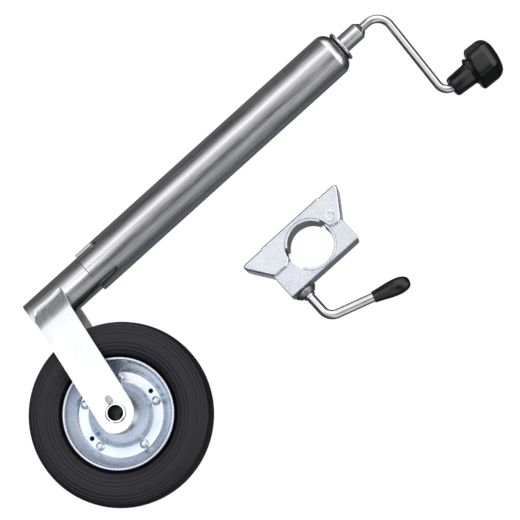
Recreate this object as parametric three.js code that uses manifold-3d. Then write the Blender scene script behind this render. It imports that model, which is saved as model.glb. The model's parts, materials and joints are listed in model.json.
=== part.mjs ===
// A trailer jockey wheel lying on its side, with its loose split clamp beside it.
// Millimetres. The outer tube lies along X with the crank at its +X end, the
// wheel's axle is vertical (Z), and the floor is z = 0.
import * as THREE from 'three';
import Module from 'manifold-3d';
import { mergeVertices } from 'three/addons/utils/BufferGeometryUtils.js';

const wasm = await Module();
wasm.setup();

const RADIANS = Math.PI / 180;

// Everything below is placed from these. x runs from the outer tube's lower end,
// and y and z from the tube's axis.
const LAYOUT = { middleX: 150.27, middleY: -105.92, axisHeight: 35.7 };

const TUBE = { radius: 24, wall: 2.5, shoulderX: 340.5, neckX: 351, neckRadius: 16.6 };
const SLOT = { length: 26.5, width: 14.6, count: 4, firstAngle: 45 };
const INNER = { radius: 21, wall: 2.5, lowX: -76, topX: 262 };
const SPINDLE = { radius: 8, lowX: 40, tailRadius: 6, journalRadius: 8.3, topX: 369.2 };
const NUT = { lowX: 240, highX: 258, radius: 18.2, ringBore: 13, gap: 0.4 };
const THRUST = { lowX: 322, height: 5.2, washer: 2.1 };
const COLLAR = { lowX: 353.2, thickness: 3.1, radius: 17.2 };
const HUB = { radius: 9.65, taperX: 379, topX: 384.2, tipRadius: 5.4 };
const CRANK = { rodRadius: 4.5, armX: 409.4, footX: 402, throw: 110.2, drop: 7.1 };
const KNOB = { startX: 411, tilt: 3.2, stemRadius: 11.7, headStart: 29.5, length: 58.9, flats: 43.2 };
const WHEEL = { x: -72.9, y: -134.3, radius: 96.5 };
const RIM = { sheet: 1.8, rivetCircle: 39.3, rivets: 5, firstRivet: 51.3, vents: [-3.5, 177.5] };
const AXLE = { radius: 9, bore: 7.8, lipRadius: 10.4, half: 35.7 };
const LEG = { width: 40, thickness: 4, outerZ: 34.5, bendY: -16.3, topY: 3.4, rise: 32 };
const BORE = { x: 191.3, y: -134.8, radius: 24.2, saddle: 2.8 };
const BRACKET = { height: 40, plate: 3, backY: 30.6, joggle: 1 };
const PIVOT = { x: 35.1, y: 8, radius: 4 };
const JAW = { lowZ: 3.6, highZ: 36.4, outerY: -28.2, leftX: -51.3, rightX: 41.5 };
const SCREW = { x: -36.6, z: 20, radius: 5, cornerY: -67.4, armAngle: -17.8, armLength: 92 };

// ---------------------------------------------------------------- finishes

const FINISHES = {
  bright_zinc: { color: 0xc4c7cc, roughness: 0.28, metalness: 1 },
  satin_zinc: { color: 0xc9cfdb, roughness: 0.42, metalness: 0.9 },
  blue_zinc: { color: 0xb3bdd0, roughness: 0.3, metalness: 1 },
  black_plastic: { color: 0x141416, roughness: 0.42, metalness: 0 },
  nylon: { color: 0x2b2b2e, roughness: 0.55, metalness: 0 },
  tyre_rubber: { color: 0x2c2c31, roughness: 0.8, metalness: 0 },
  seal_rubber: { color: 0x0c0c0d, roughness: 0.7, metalness: 0 },
  oiled_steel: { color: 0x75767a, roughness: 0.4, metalness: 1 },
};

function part(name, finish, geometry) {
  const mesh = new THREE.Mesh(geometry, new THREE.MeshStandardMaterial(FINISHES[finish]));
  mesh.name = name;
  return mesh;
}

// ---------------------------------------------------------------- solids

function volumeOf(geometry) {
  const flat = geometry.index ? geometry.toNonIndexed() : geometry;
  const at = flat.attributes.position;
  const [a, b, c] = [new THREE.Vector3(), new THREE.Vector3(), new THREE.Vector3()];
  let volume = 0;
  for (let i = 0; i < at.count; i += 3) {
    a.fromBufferAttribute(at, i);
    b.fromBufferAttribute(at, i + 1);
    c.fromBufferAttribute(at, i + 2);
    volume += a.dot(b.cross(c)) / 6;
  }
  return volume;
}

// The closed surface with shared corners and its faces turned outwards.
function closed(geometry) {
  const bare = geometry.clone();
  bare.deleteAttribute('normal');
  bare.deleteAttribute('uv');
  const merged = mergeVertices(bare, 1e-4);
  if (volumeOf(merged) < 0) {
    const order = merged.index.array;
    for (let i = 0; i < order.length; i += 3) {
      [order[i], order[i + 1]] = [order[i + 1], order[i]];
    }
  }
  return merged;
}

function toSolid(geometry) {
  const surface = closed(geometry);
  return new wasm.Manifold(new wasm.Mesh({
    numProp: 3,
    vertProperties: new Float32Array(surface.attributes.position.array),
    triVerts: new Uint32Array(surface.index.array),
  }));
}

function fromSolid(solid) {
  const mesh = solid.getMesh();
  const geometry = new THREE.BufferGeometry();
  geometry.setAttribute('position', new THREE.BufferAttribute(mesh.vertProperties, 3));
  geometry.setIndex(new THREE.BufferAttribute(mesh.triVerts, 1));
  return geometry;
}

function cut(geometry, ...tools) {
  let solid = toSolid(geometry);
  for (const tool of tools) {
    solid = solid.subtract(toSolid(tool));
  }
  return fromSolid(solid);
}

function join(...pieces) {
  let solid = toSolid(pieces[0]);
  for (const piece of pieces.slice(1)) {
    solid = solid.add(toSolid(piece));
  }
  return fromSolid(solid);
}

function overlap(first, second) {
  return fromSolid(toSolid(first).intersect(toSolid(second)));
}

// A closed profile of [along, radius] pairs, turned about Z and stood on it.
function turnedZ(profile, segments = 24) {
  const points = [...profile, profile[0]].map(([along, radius]) => new THREE.Vector2(radius, along));
  return closed(new THREE.LatheGeometry(points, segments).rotateX(Math.PI / 2));
}

// The same about X.
function turnedX(profile, segments = 24) {
  return turnedZ(profile, segments).rotateY(Math.PI / 2);
}

// The same about Y.
function turnedY(profile, segments = 24) {
  return turnedZ(profile, segments).rotateX(-Math.PI / 2);
}

function ring(low, high, inner, outer) {
  return [[low, inner], [low, outer], [high, outer], [high, inner]];
}

function rodZ(low, high, radius, segments = 20) {
  return new THREE.CylinderGeometry(radius, radius, high - low, segments)
    .rotateX(Math.PI / 2)
    .translate(0, 0, (low + high) / 2);
}

// A sheet of one thickness that follows a profile, as a closed profile.
function sheet(profile, thickness) {
  const back = profile.map(([along, radius], i) => {
    const before = profile[Math.max(i - 1, 0)];
    const after = profile[Math.min(i + 1, profile.length - 1)];
    const run = Math.hypot(after[0] - before[0], after[1] - before[1]);
    return [
      along - thickness * (after[1] - before[1]) / run,
      radius + thickness * (after[0] - before[0]) / run,
    ];
  });
  return [...profile, ...back.reverse()];
}

// An outline of [x, y, setback] corners; a setback rounds its corner.
function outline(corners) {
  const shape = new THREE.Shape();
  corners.forEach(([x, y, setback = 0], i) => {
    const corner = new THREE.Vector2(x, y);
    const before = new THREE.Vector2(...corners.at(i - 1).slice(0, 2));
    const after = new THREE.Vector2(...corners[(i + 1) % corners.length].slice(0, 2));
    const start = corner.clone().add(before.sub(corner).setLength(setback));
    const end = corner.clone().add(after.sub(corner).setLength(setback));
    if (i === 0) {
      shape.moveTo(start.x, start.y);
    } else {
      shape.lineTo(start.x, start.y);
    }
    if (setback > 0) {
      shape.quadraticCurveTo(x, y, end.x, end.y);
    }
  });
  shape.closePath();
  return shape;
}

function extruded(shape, low, high, curveSegments = 5) {
  return new THREE.ExtrudeGeometry(shape, { depth: high - low, bevelEnabled: false, curveSegments })
    .translate(0, 0, low);
}

// A round rod through [x, y] corners in the XY plane, bent to a radius at each.
function bentRod(corners, radii, rodRadius, steps) {
  const points = corners.map(([x, y]) => new THREE.Vector3(x, y, 0));
  const path = new THREE.CurvePath();
  let from = points[0];
  for (let i = 1; i < points.length - 1; i += 1) {
    const back = points[i - 1].clone().sub(points[i]).normalize();
    const on = points[i + 1].clone().sub(points[i]).normalize();
    const setback = radii[i - 1] / Math.tan(back.angleTo(on) / 2);
    const start = points[i].clone().addScaledVector(back, setback);
    const end = points[i].clone().addScaledVector(on, setback);
    path.add(new THREE.LineCurve3(from, start));
    path.add(arc(start, end, points[i], radii[i - 1]));
    from = end;
  }
  path.add(new THREE.LineCurve3(from, points.at(-1)));
  const section = new THREE.Shape().absarc(0, 0, rodRadius, 0, 2 * Math.PI);
  return closed(new THREE.ExtrudeGeometry(section, { extrudePath: path, steps, curveSegments: 5 }));
}

// A cubic curve that keeps to the circle between two tangent points of a corner.
function arc(start, end, corner, radius) {
  const half = start.clone().sub(corner).angleTo(end.clone().sub(corner)) / 2;
  const turn = Math.PI - 2 * half;
  const reach = (4 / 3) * Math.tan(turn / 4) * radius;
  const leave = corner.clone().sub(start).setLength(reach).add(start);
  const meet = corner.clone().sub(end).setLength(reach).add(end);
  return new THREE.CubicBezierCurve3(start, leave, meet, end);
}

// ---------------------------------------------------------------- the jack's tubes

function outerTube() {
  const bore = TUBE.radius - TUBE.wall;
  const profile = [
    [0, TUBE.radius],
    [TUBE.shoulderX, TUBE.radius],
    [TUBE.shoulderX + 3.5, 23],
    [TUBE.neckX - 3, 20],
    [TUBE.neckX, TUBE.neckRadius],
    [TUBE.neckX, TUBE.neckRadius - 2.8],
    [TUBE.neckX - 4.2, 18.2],
    [TUBE.shoulderX + 2.3, 20.6],
    [TUBE.shoulderX - 1, bore],
    [0, bore],
  ];
  const half = SLOT.width / 2;
  const slotShape = outline([
    [-2, -half],
    [SLOT.length, -half, half],
    [SLOT.length, half, half],
    [-2, half],
  ]);
  const slots = [];
  for (let i = 0; i < SLOT.count; i += 1) {
    const angle = (SLOT.firstAngle + i * 360 / SLOT.count) * RADIANS;
    slots.push(extruded(slotShape, bore - 4, TUBE.radius + 4).rotateX(angle));
  }
  return cut(turnedX(profile, 36), ...slots);
}

function bearingCup() {
  return turnedX([
    [330, 8.8],
    [330, 21.1],
    [336, 21.1],
    [346.5, 12.3],
    [351.6, 12.3],
    [351.6, 8.8],
  ], 20);
}

// The screw, drawn as a smooth rod: a turned-down tail, a thrust shoulder and a journal.
function spindle() {
  return turnedX([
    [SPINDLE.lowX, 0],
    [SPINDLE.lowX, SPINDLE.tailRadius],
    [SPINDLE.lowX + 6, SPINDLE.tailRadius],
    [SPINDLE.lowX + 6, SPINDLE.radius],
    [THRUST.lowX, SPINDLE.radius],
    [THRUST.lowX, 12],
    [THRUST.lowX + THRUST.height, 12],
    [THRUST.lowX + THRUST.height, SPINDLE.journalRadius],
    [SPINDLE.topX, SPINDLE.journalRadius],
    [SPINDLE.topX, 0],
  ], 16);
}

// ---------------------------------------------------------------- crank and knob

function crankCollar() {
  const high = COLLAR.lowX + COLLAR.thickness;
  return turnedX([
    [COLLAR.lowX, HUB.radius + 0.3],
    [COLLAR.lowX, COLLAR.radius - 0.6],
    [COLLAR.lowX + 0.8, COLLAR.radius],
    [high - 0.8, COLLAR.radius],
    [high, COLLAR.radius - 0.6],
    [high, HUB.radius + 0.3],
  ]);
}

function crankHub() {
  const rodHole = CRANK.rodRadius + 0.3;
  const spindleHole = SPINDLE.journalRadius + 0.3;
  return turnedX([
    [COLLAR.lowX, spindleHole],
    [COLLAR.lowX, HUB.radius],
    [HUB.taperX, HUB.radius],
    [HUB.topX, HUB.tipRadius],
    [HUB.topX, rodHole],
    [SPINDLE.topX + 0.4, rodHole],
    [SPINDLE.topX + 0.4, spindleHole],
  ], 20);
}

// The knob's own axis leaves the crank's foot a few degrees outwards.
const knobDirection = [Math.cos(KNOB.tilt * RADIANS), -Math.sin(KNOB.tilt * RADIANS)];

function alongKnob(distance) {
  const run = KNOB.startX - CRANK.footX + distance;
  return [CRANK.footX + run * knobDirection[0], -CRANK.throw + run * knobDirection[1]];
}

function crankRod() {
  const corners = [[SPINDLE.topX + 1, 0], [CRANK.armX, 0], [CRANK.footX, -CRANK.throw], alongKnob(41)];
  return bentRod(corners, [17, 12], CRANK.rodRadius, 28);
}

// Stem, step ring and six-sided domed head, bored for the crank's end and its clip.
function knobGrip() {
  const stem = turnedX([
    [0, 0],
    [0, KNOB.stemRadius - 2],
    [2.2, KNOB.stemRadius],
    [KNOB.headStart - 5, KNOB.stemRadius + 0.3],
    [KNOB.headStart - 2.5, 17.5],
    [KNOB.headStart + 2, 17.5],
    [KNOB.headStart + 2, 0],
  ], 20);
  const corner = KNOB.flats / 2 / Math.cos(30 * RADIANS);
  const sides = [];
  for (let i = 0; i < 6; i += 1) {
    const angle = i * 60 * RADIANS;
    sides.push([corner * Math.cos(angle), corner * Math.sin(angle), 9]);
  }
  // The outline's corners point along Y once it is turned onto the X axis.
  const prism = extruded(outline(sides), KNOB.headStart, KNOB.length + 1)
    .rotateZ(90 * RADIANS)
    .rotateY(90 * RADIANS);
  const dome = turnedX([
    [KNOB.headStart - 1, 0],
    [KNOB.headStart - 1, 20.5],
    [KNOB.headStart + 2, 23.8],
    [51, 24],
    [54.5, 21.5],
    [57.3, 15.5],
    [58.6, 8],
    [KNOB.length, 0],
  ], 20);
  const bore = turnedX([
    [-1, 0],
    [-1, 7.5],
    [5, CRANK.rodRadius + 0.5],
    [37, CRANK.rodRadius + 0.5],
    [37, 8.3],
    [45, 8.3],
    [45, 0],
  ], 12);
  return cut(join(stem, overlap(prism, dome)), bore);
}

// ---------------------------------------------------------------- fork and axle

// A point down a leg's centreline: the legs lean back from the tube to the axle.
const legTopX = -55.1;
const lean = Math.atan2(legTopX - WHEEL.x, LEG.bendY - WHEEL.y);

function onLeg(y, side) {
  return legTopX + (y - LEG.bendY) * Math.tan(lean) + side * LEG.width / 2 / Math.cos(lean);
}

// The upper leg: a bent plate's side view, extruded, and cut to its front view.
function forkLeg() {
  const rise = LEG.rise * RADIANS;
  const run = (LEG.topY - LEG.bendY) / Math.cos(rise);
  const topZ = LEG.outerZ - run * Math.sin(rise);
  const innerZ = LEG.outerZ - LEG.thickness;
  const innerBendY = LEG.bendY - LEG.thickness * Math.tan(rise / 2);
  const sideView = outline([
    [-160, LEG.outerZ],
    [-160, innerZ],
    [innerBendY, innerZ, 5],
    [LEG.topY - LEG.thickness * Math.sin(rise), topZ - LEG.thickness * Math.cos(rise)],
    [LEG.topY, topZ],
    [LEG.bendY, LEG.outerZ, 7],
  ]);
  const plate = extruded(sideView, -120, 0).rotateY(90 * RADIANS).rotateX(90 * RADIANS);
  const end = LEG.width / 2;
  const front = new THREE.Shape();
  front.moveTo(onLeg(-4, -1), -4);
  front.quadraticCurveTo(onLeg(LEG.topY, -1), LEG.topY, onLeg(LEG.topY, -1) + 6, LEG.topY);
  front.lineTo(onLeg(LEG.topY, 0.25), LEG.topY - 1.2);
  front.lineTo(onLeg(LEG.topY, 1) + 0.5, LEG.topY);
  front.lineTo(onLeg(LEG.bendY, 1), LEG.bendY);
  front.absarc(WHEEL.x, WHEEL.y, end, -lean, -Math.PI - lean, true);
  const strip = extruded(front, 10, 40, 12);
  const axleHole = rodZ(0, 50, AXLE.radius + 0.35, 20).translate(WHEEL.x, WHEEL.y, 0);
  const tubeSpace = turnedX(ring(-110, 0, 0, INNER.radius + 0.35), 36);
  return cut(overlap(plate, strip), axleHole, tubeSpace);
}

function weldBead() {
  const bead = new THREE.CapsuleGeometry(1.3, 32, 3, 8).rotateZ(90 * RADIANS);
  return closed(bead).translate(onLeg(LEG.topY, 0), LEG.topY + 1.7, 22);
}

function axle() {
  const lip = LEG.outerZ + 0.3;
  return turnedZ([
    [-AXLE.half, AXLE.bore],
    [-AXLE.half, AXLE.lipRadius - 0.7],
    [-AXLE.half + 0.5, AXLE.lipRadius],
    [-lip, AXLE.lipRadius],
    [-lip, AXLE.radius],
    [lip, AXLE.radius],
    [lip, AXLE.lipRadius],
    [AXLE.half - 0.5, AXLE.lipRadius],
    [AXLE.half, AXLE.lipRadius - 0.7],
    [AXLE.half, AXLE.bore],
  ], 20);
}

// A pressed tab above the axle that keeps it from turning in the leg.
function axleLock() {
  const shape = outline([[-3.3, -4.2, 2], [3.3, -4.2, 2], [3.3, 4.2, 3], [-3.3, 4.2, 3]]);
  return extruded(shape, LEG.outerZ + 0.3, AXLE.half - 0.1, 3);
}

// The same piece on the other side of z = 0.
function mirroredZ(geometry) {
  return closed(geometry.clone().scale(1, 1, -1));
}

// ---------------------------------------------------------------- wheel

function tyre() {
  const nearSide = [
    [2.6, 49.2],
    [11, 56.6],
    [16.8, 61],
    [20.6, 62.6],
    [24.8, 73],
    [24.6, 83],
    [22, 89.5],
    [15, 94.4],
  ];
  const farSide = nearSide.map(([z, radius]) => [-z, radius]).reverse();
  return turnedZ([...nearSide, [0, WHEEL.radius], ...farSide], 36);
}

// One pressed half: hub dish, flat ring where the halves are riveted, and well wall.
function rimHalf() {
  const pressed = sheet([
    [26, 14.6],
    [25, 17.6],
    [20.5, 21.8],
    [4.5, 32],
    [2.1, 33.9],
    [2.1, 44.8],
    [3.6, 46.6],
    [14, 55],
    [19.4, 58.4],
  ], RIM.sheet);
  const holes = [];
  for (let i = 0; i < RIM.rivets; i += 1) {
    holes.push(onRivetCircle(rodZ(-5, 8, 3.1, 10), RIM.firstRivet + 72 * i));
  }
  for (const angle of RIM.vents) {
    holes.push(onRivetCircle(rodZ(-5, 8, 2.6, 10), angle));
  }
  return cut(turnedZ(pressed, 30), ...holes);
}

function onRivetCircle(geometry, angle) {
  return geometry.translate(RIM.rivetCircle, 0, 0).rotateZ(angle * RADIANS);
}

function rimRivet() {
  const head = 2.4;
  return turnedZ([
    [-4.9, 0],
    [-4.2, 3],
    [-head, 5],
    [-head, 2.8],
    [head, 2.8],
    [head, 5],
    [4.2, 3],
    [4.9, 0],
  ], 10);
}

function hubBush() {
  return turnedZ([
    [3, AXLE.radius + 0.25],
    [3, 11.4],
    [27.9, 11.4],
    [27.9, 13],
    [29.9, 13],
    [29.9, AXLE.radius + 0.25],
  ], 20);
}

// ---------------------------------------------------------------- clamp

function arcSheet(fromAngle, toAngle, low, high) {
  const outer = BORE.radius + BORE.saddle;
  const shape = new THREE.Shape();
  shape.absarc(0, 0, outer, fromAngle * RADIANS, toAngle * RADIANS, false);
  shape.absarc(0, 0, BORE.radius, toAngle * RADIANS, fromAngle * RADIANS, true);
  return extruded(shape, low, high, 12);
}

const saddleSpace = () => rodZ(-5, 50, BORE.radius + BORE.saddle + 0.4, 40);
const pivotHole = () => rodZ(-5, 50, PIVOT.radius + 0.3).translate(PIVOT.x, PIVOT.y, 0);

function clampBracket() {
  const { height, plate, backY, joggle } = BRACKET;
  const side = new THREE.Shape();
  side.moveTo(-68.3, backY);
  side.lineTo(-48.5, -1);
  side.lineTo(-33, -1);
  side.quadraticCurveTo(-28, -1, -27, 4);
  side.lineTo(-20, 20);
  side.lineTo(20, 20);
  side.absarc(PIVOT.x, PIVOT.y, 10.7, 160 * RADIANS, -30 * RADIANS, false);
  side.lineTo(61.1, backY);
  const inside = backY - plate;
  const back = outline([
    [-68.3, backY, 0.8],
    [-42, backY],
    [-40.8, backY + joggle],
    [36.2, backY + joggle],
    [37.4, backY],
    [61.1, backY, 0.8],
    [61.1 - plate / 1.6, inside],
    [38.6, inside],
    [37.4, inside + joggle],
    [-42, inside + joggle],
    [-43.2, inside],
    [-68.3 + plate / 1.6, inside],
  ]);
  const body = join(
    extruded(side, 0, plate, 12),
    extruded(side, height - plate, height, 12),
    extruded(back, 0, height),
  );
  return cut(body, saddleSpace(), pivotHole());
}

function clampJaw() {
  const { lowZ, highZ, outerY, leftX, rightX } = JAW;
  const plate = BRACKET.plate;
  const side = new THREE.Shape();
  side.moveTo(leftX, outerY);
  side.lineTo(leftX, 2);
  side.lineTo(-30, 2);
  side.lineTo(-20, -15);
  side.lineTo(20, -15);
  side.absarc(PIVOT.x, PIVOT.y, 8.5, 160 * RADIANS, 0, true);
  side.lineTo(rightX, 4);
  side.lineTo(rightX, outerY);
  const wall = outline([
    [leftX, outerY, 2],
    [rightX, outerY, 2],
    [rightX, outerY + 9],
    [rightX - plate, outerY + 9],
    [rightX - plate, outerY + plate],
    [leftX + plate, outerY + plate],
    [leftX + plate, 1],
    [leftX, 1],
  ]);
  const body = join(
    overlap(extruded(side, lowZ, lowZ + plate, 12), extruded(jawCorners(), lowZ, highZ)),
    overlap(extruded(side, highZ - plate, highZ, 12), extruded(jawCorners(), lowZ, highZ)),
    extruded(wall, lowZ, highZ),
  );
  const screwHole = turnedY(ring(outerY - 3, outerY + 8, 0, 8.4), 24).translate(SCREW.x, 0, SCREW.z);
  return cut(body, saddleSpace(), pivotHole(), screwHole);
}

// The jaw's outline with its two outer corners rounded.
function jawCorners() {
  const { outerY, leftX, rightX } = JAW;
  return outline([[leftX, outerY, 2], [rightX, outerY, 2], [rightX, 30], [leftX, 30]]);
}

function pivotRivet() {
  return turnedZ([
    [0.3, 0],
    [0.3, PIVOT.radius],
    [BRACKET.height - 0.3, PIVOT.radius],
    [BRACKET.height + 0.3, PIVOT.radius - 0.6],
    [BRACKET.height + 0.6, 0],
  ], 20);
}

// A round bar across the bracket, drilled for the screw.
function clampNut() {
  const bar = rodZ(BRACKET.plate + 0.4, BRACKET.height - BRACKET.plate - 0.4, 8, 24);
  const hole = turnedY(ring(-12, 12, 0, SCREW.radius + 0.4), 20).translate(0, 0, SCREW.z);
  return cut(bar, hole);
}

// The crowned washer that presses on the jaw: it stays clear when the jaw tilts.
function screwBoss() {
  return turnedY([
    [JAW.outerY - 0.65, SCREW.radius + 0.4],
    [JAW.outerY - 1.8, 12.5],
    [JAW.outerY - 3.4, 12.5],
    [JAW.outerY - 7.6, 8.7],
    [JAW.outerY - 7.6, SCREW.radius + 0.4],
  ], 24);
}

function alongArm(distance) {
  const angle = SCREW.armAngle * RADIANS;
  return [distance * Math.cos(angle), SCREW.cornerY + distance * Math.sin(angle)];
}

function clampRod() {
  return bentRod([[0, 25], [0, SCREW.cornerY], alongArm(84)], [13.5], SCREW.radius, 24);
}

// The egg-shaped grip, from its open mouth to its round tip, along its own X axis.
function clampGrip() {
  const bore = SCREW.radius + 0.3;
  return turnedX([
    [0, bore],
    [0, 6.1],
    [8, 7.1],
    [18, 8.4],
    [27, 9],
    [34, 8.2],
    [38.6, 5.6],
    [41, 2.4],
    [41.5, 0],
    [34.5, 0],
    [34.5, bore],
  ], 18);
}

// ---------------------------------------------------------------- assembly

const jack = new THREE.Group();
jack.position.set(-LAYOUT.middleX, -LAYOUT.middleY, LAYOUT.axisHeight);

jack.add(
  part('outer_tube', 'bright_zinc', outerTube()),
  part('bearing_cup', 'oiled_steel', bearingCup()),
  part('top_seal', 'seal_rubber', turnedX(ring(TUBE.neckX + 0.3, COLLAR.lowX - 0.3, 12.6, 15.3))),
);

// The spindle, hub and bent rod turn together; the crank lies with its knob on the floor.
const washerX = THRUST.lowX + THRUST.height + 0.3;
const crank = new THREE.Group();
crank.rotation.x = CRANK.drop * RADIANS;
crank.add(
  part('spindle', 'oiled_steel', spindle()),
  part('thrust_washer', 'oiled_steel',
    turnedX(ring(washerX, washerX + THRUST.washer, SPINDLE.journalRadius + 0.4, 18), 20)),
  part('spindle_stop', 'oiled_steel',
    turnedX(ring(SPINDLE.lowX + 1, SPINDLE.lowX + 5, SPINDLE.tailRadius + 0.4, 17), 20)),
  part('crank_collar', 'bright_zinc', crankCollar()),
  part('crank_hub', 'bright_zinc', crankHub()),
  part('crank_rod', 'bright_zinc', crankRod()),
);

const knob = new THREE.Group();
knob.position.set(...alongKnob(0), 0);
knob.rotation.z = -KNOB.tilt * RADIANS;
const knobTurn = new THREE.Group();
knobTurn.rotation.x = -CRANK.drop * RADIANS;
knobTurn.add(
  part('knob_grip', 'black_plastic', knobGrip()),
  part('knob_clip', 'oiled_steel', turnedX(ring(38.2, 39.6, CRANK.rodRadius + 0.3, 7.9), 16)),
);
knob.add(knobTurn);
crank.add(knob);

// The leg tube slides with the nut, and swivels about it between two rings.
jack.add(
  crank,
  part('spindle_nut', 'oiled_steel',
    turnedX(ring(NUT.lowX, NUT.highX, SPINDLE.radius + NUT.gap, NUT.radius))),
  part('nut_ring_low', 'oiled_steel',
    turnedX(ring(NUT.lowX - NUT.gap - 4.1, NUT.lowX - NUT.gap, NUT.ringBore, NUT.radius))),
  part('nut_ring_top', 'oiled_steel',
    turnedX(ring(NUT.highX + NUT.gap, NUT.highX + NUT.gap + 3.2, NUT.ringBore, NUT.radius))),
  part('inner_tube', 'bright_zinc',
    turnedX(ring(INNER.lowX, INNER.topX, INNER.radius - INNER.wall, INNER.radius), 36)),
);

const nearLeg = forkLeg();
jack.add(
  part('fork_leg_near', 'satin_zinc', nearLeg),
  part('fork_leg_far', 'satin_zinc', mirroredZ(nearLeg)),
  part('weld_near', 'satin_zinc', weldBead()),
  part('weld_far', 'satin_zinc', mirroredZ(weldBead())),
);

const wheel = new THREE.Group();
wheel.position.set(WHEEL.x, WHEEL.y, 0);
wheel.add(part('axle', 'bright_zinc', axle()));
const lockAt = [3.7, AXLE.lipRadius + 4.7, 0];
wheel.add(
  part('axle_lock_near', 'satin_zinc', axleLock().translate(...lockAt)),
  part('axle_lock_far', 'satin_zinc', mirroredZ(axleLock()).translate(...lockAt)),
);
const half = rimHalf();
wheel.add(
  part('tyre', 'tyre_rubber', tyre()),
  part('rim_near', 'blue_zinc', half),
  part('rim_far', 'blue_zinc', mirroredZ(half)),
  part('hub_tube', 'oiled_steel', turnedZ(ring(-27.5, 27.5, 11.8, 13.6))),
  part('hub_bush_near', 'nylon', hubBush()),
  part('hub_bush_far', 'nylon', mirroredZ(hubBush())),
);
for (let i = 0; i < RIM.rivets; i += 1) {
  const rivet = onRivetCircle(rimRivet(), RIM.firstRivet + 72 * i);
  wheel.add(part(`rim_rivet_${i + 1}`, 'blue_zinc', rivet));
}
jack.add(wheel);

const clamp = new THREE.Group();
clamp.position.set(BORE.x - LAYOUT.middleX, BORE.y - LAYOUT.middleY, 0);
clamp.add(
  part('clamp_bracket', 'satin_zinc', clampBracket()),
  part('bracket_saddle', 'satin_zinc', arcSheet(28, 148, 0.4, BRACKET.height - 0.4)),
  part('clamp_jaw', 'satin_zinc', clampJaw()),
  part('jaw_saddle', 'satin_zinc', arcSheet(211, 373, JAW.lowZ, JAW.highZ)),
  part('pivot_rivet', 'bright_zinc', pivotRivet().translate(PIVOT.x, PIVOT.y, 0)),
  part('clamp_nut', 'oiled_steel', clampNut().translate(SCREW.x, 14, 0)),
  part('screw_boss', 'oiled_steel', screwBoss().translate(SCREW.x, 0, SCREW.z)),
);

const screw = new THREE.Group();
screw.position.set(SCREW.x, 0, SCREW.z);
const collarTop = JAW.outerY - 8;
screw.add(
  part('clamp_rod', 'bright_zinc', clampRod()),
  part('clamp_collar', 'bright_zinc', turnedY(ring(collarTop - 2.4, collarTop, SCREW.radius + 0.3, 6.6), 20)),
);
const grip = part('clamp_grip', 'black_plastic', clampGrip());
grip.position.set(...alongArm(SCREW.armLength - 41.5), 0);
grip.rotation.z = SCREW.armAngle * RADIANS;
screw.add(grip);
clamp.add(screw);

const object = new THREE.Group();
object.name = 'jockey_wheel_with_clamp';
object.add(jack, clamp);

export default object;
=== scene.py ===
"""A trailer jockey wheel and its loose clamp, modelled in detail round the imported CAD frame.

Lengths are in millimetres until a piece is put in place. The jack's own frame has x along
the tube from its lower end, and y and z from the tube's axis. The clamp's own frame starts
at its bore's centre, on the floor.
"""
import json
import math

import bmesh
import bpy
from mathutils import Matrix, Vector


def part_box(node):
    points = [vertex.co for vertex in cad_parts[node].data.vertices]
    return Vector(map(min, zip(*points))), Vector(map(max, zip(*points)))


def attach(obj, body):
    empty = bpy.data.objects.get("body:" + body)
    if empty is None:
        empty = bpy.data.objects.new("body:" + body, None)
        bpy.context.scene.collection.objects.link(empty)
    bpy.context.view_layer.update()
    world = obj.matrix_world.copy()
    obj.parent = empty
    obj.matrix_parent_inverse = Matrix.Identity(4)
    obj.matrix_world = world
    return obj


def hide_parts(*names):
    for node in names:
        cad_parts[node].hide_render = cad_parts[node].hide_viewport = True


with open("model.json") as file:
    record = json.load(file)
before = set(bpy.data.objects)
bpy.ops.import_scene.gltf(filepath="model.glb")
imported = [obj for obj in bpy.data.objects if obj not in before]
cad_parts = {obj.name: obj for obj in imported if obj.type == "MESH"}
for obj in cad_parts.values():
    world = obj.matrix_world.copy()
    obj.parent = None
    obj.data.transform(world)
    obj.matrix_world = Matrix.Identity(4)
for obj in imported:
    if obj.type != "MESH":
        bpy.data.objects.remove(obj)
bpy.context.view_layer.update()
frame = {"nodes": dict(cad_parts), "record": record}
scene = bpy.context.scene

MM = 0.001

# the tubes, by distance along the jack and from its axis
TUBE_LENGTH = 351
TUBE_RADIUS = 24
TUBE_BORE = 21.5
SLOT_COUNT = 4
SLOT_RADIUS = 7.3
SLOT_CENTRE = 19.2
INNER_TUBE_ENDS = (-76, 262)
INNER_TUBE_RADIUS = 21
INNER_TUBE_BORE = 18.5

# the crank and its knob
CRANK_DROP = math.radians(7.1)
CRANK_ROD_RADIUS = 4.5
CRANK_ELBOW_X = 409.4
CRANK_FOOT = (402, -110.2)
CRANK_BENDS = (17, 12)
HUB_START = 353.2
HUB_RADIUS = 9.65
KNOB_TILT = math.radians(3.2)
KNOB_START = 411
KNOB_SIDES = 96
HEAD_RADIUS = 21.2
HEAD_SLANT = 0.17
DOME_START = 46.5
DOME_HEIGHT = 12.1

# the fork's legs, which lean from the axle to the tube and are bent in towards it
LEG_WIDTH = 40
LEG_THICKNESS = 4
LEG_OUTER = 34.5
LEG_BEND_Y = -16.3
LEG_BEND_SOFTNESS = 5
LEG_RISE = math.radians(32)
LEG_TOP_X = -55.1
LEG_TOP_Y = 3.4
LEG_HOLE_RADIUS = 9.3
LEG_RECESS_RADIUS = 11.6
WELD_RADIUS = 2.3

# the wheel's centre in the jack's frame, and the lean of the legs that reach it
WHEEL_X = -72.9
WHEEL_Y = -134.3
LEG_LEAN = math.atan2(LEG_TOP_X - WHEEL_X, LEG_BEND_Y - WHEEL_Y)

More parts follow.
